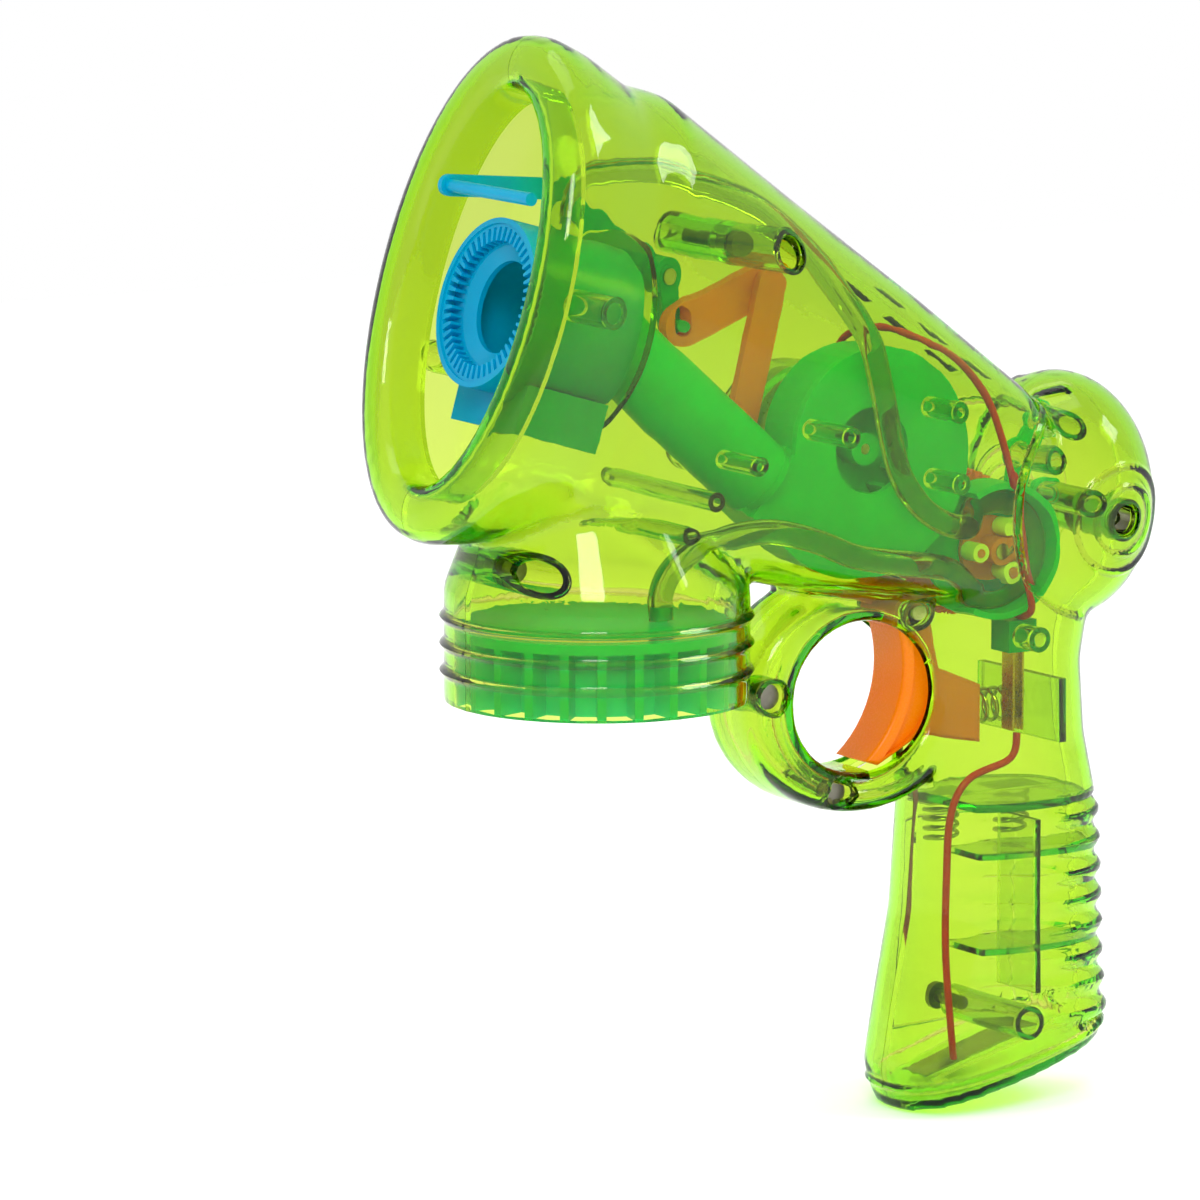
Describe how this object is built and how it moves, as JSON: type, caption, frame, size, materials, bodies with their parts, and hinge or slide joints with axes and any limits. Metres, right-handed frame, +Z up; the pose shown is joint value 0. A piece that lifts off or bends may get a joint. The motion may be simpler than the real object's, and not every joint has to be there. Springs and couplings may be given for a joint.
{
  "type": "bubble blower",
  "caption": "Translucent bubble gun with a bell mouth, bubble ring, fan, geared hose pump, trigger linkage, bottle socket and battery grip.",
  "frame": {"origin": "Centre of the bottle socket's mouth plane", "axes": "+X forward, the way the bubbles are blown; +Y the gun's left; +Z up, away from the bottle"},
  "size_m": [0.1609, 0.062, 0.2061],
  "materials": {
    "lime_shell": "moulded translucent lime plastic, glossy",
    "blue_inner": "moulded translucent blue plastic, satin gloss",
    "orange_plastic": "moulded orange plastic, satin gloss",
    "white_nylon": "moulded nylon",
    "clear_vinyl": "clear vinyl hose",
    "motor_can": "plated motor can",
    "steel": "plated steel",
    "brass": "sprung brass strip",
    "dark_screw": "blackened steel screws",
    "red_wire": "red insulated wire"
  },
  "bodies": {
    "case": {"left_shell": "lime_shell", "right_shell": "lime_shell", "bottle_collar": "blue_inner", "bubble_ring": "blue_inner", "ring_drum": "blue_inner", "drum_backing": "lime_shell", "air_duct": "blue_inner", "fan_housing": "blue_inner", "fan_cover": "blue_inner", "motor": "motor_can", "idler_pin": "steel", "pump_housing": "blue_inner", "gear_plate": "blue_inner", "solution_hose": "clear_vinyl", "trigger_pin": "steel", "trigger_spring": "steel", "lever_pin": "steel", "wiper_pin": "steel", "switch_block": "blue_inner", "switch_leaves": "brass", "battery_contacts": "steel", "battery_springs": "steel", "battery_lead": "red_wire", "motor_lead": "red_wire", "case_screws": "dark_screw"},
    "fan_rotor": {"impeller": "blue_inner", "motor_shaft": "steel", "motor_pinion": "white_nylon"},
    "idler": {"idler_gear": "orange_plastic"},
    "pump_drive": {"pump_gear": "orange_plastic", "pump_shaft": "steel", "pump_rotor": "orange_plastic", "pump_rollers": "white_nylon"},
    "trigger_body": {"trigger": "orange_plastic"},
    "lever": {"push_lever": "orange_plastic"},
    "link": {"wiper_link": "orange_plastic"},
    "wiper": {"wiper_arm": "blue_inner"},
    "door": {"battery_door": "lime_shell", "door_screw": "dark_screw"}
  },
  "joints": [
    {"name": "trigger_pull", "type": "hinge", "parent": "case", "child": "trigger_body", "pos_m": [-0.0653, 0, 0.0114], "axis": [0, 1, 0], "range_deg": [0, 11], "stiffness_Nm_per_rad": 0.3, "springref_deg": -2.86, "deforming": ["trigger_spring"]},
    {"name": "lever_swing", "type": "hinge", "parent": "case", "child": "lever", "pos_m": [-0.0325, 0, 0.0405], "axis": [0, 1, 0], "range_deg": [-6.5, 0]},
    {"name": "link_slide", "type": "slide", "parent": "case", "child": "link", "axis": [-1, 0, 0], "range_m": [0, 0.0037]},
    {"name": "wiper_swing", "type": "hinge", "parent": "case", "child": "wiper", "pos_m": [-0.0214, 0, 0.075], "axis": [0, 1, 0], "range_deg": [0, 24.1]},
    {"name": "fan_spin", "type": "hinge", "parent": "case", "child": "fan_rotor", "pos_m": [-0.0536, 0, 0.0427], "axis": [0, 1, 0], "continuous": true},
    {"name": "idler_spin", "type": "hinge", "parent": "case", "child": "idler", "pos_m": [-0.06826, 0, 0.03217], "axis": [0, 1, 0], "continuous": true},
    {"name": "pump_spin", "type": "hinge", "parent": "case", "child": "pump_drive", "pos_m": [-0.08292, 0, 0.02163], "axis": [0, 1, 0], "continuous": true},
    {"name": "door_slide", "type": "slide", "parent": "case", "child": "door", "axis": [0, -1, 0], "range_m": [0, 0.02]}
  ],
  "couplings": [
    {"joint": "lever_swing", "follows": "trigger_pull", "ratio": -0.5838},
    {"joint": "link_slide", "follows": "trigger_pull", "m_per_rad": 0.01874},
    {"joint": "wiper_swing", "follows": "trigger_pull", "ratio": 2.1776},
    {"joint": "idler_spin", "follows": "fan_spin", "ratio": -0.2},
    {"joint": "pump_spin", "follows": "fan_spin", "ratio": 0.072727}
  ]
}
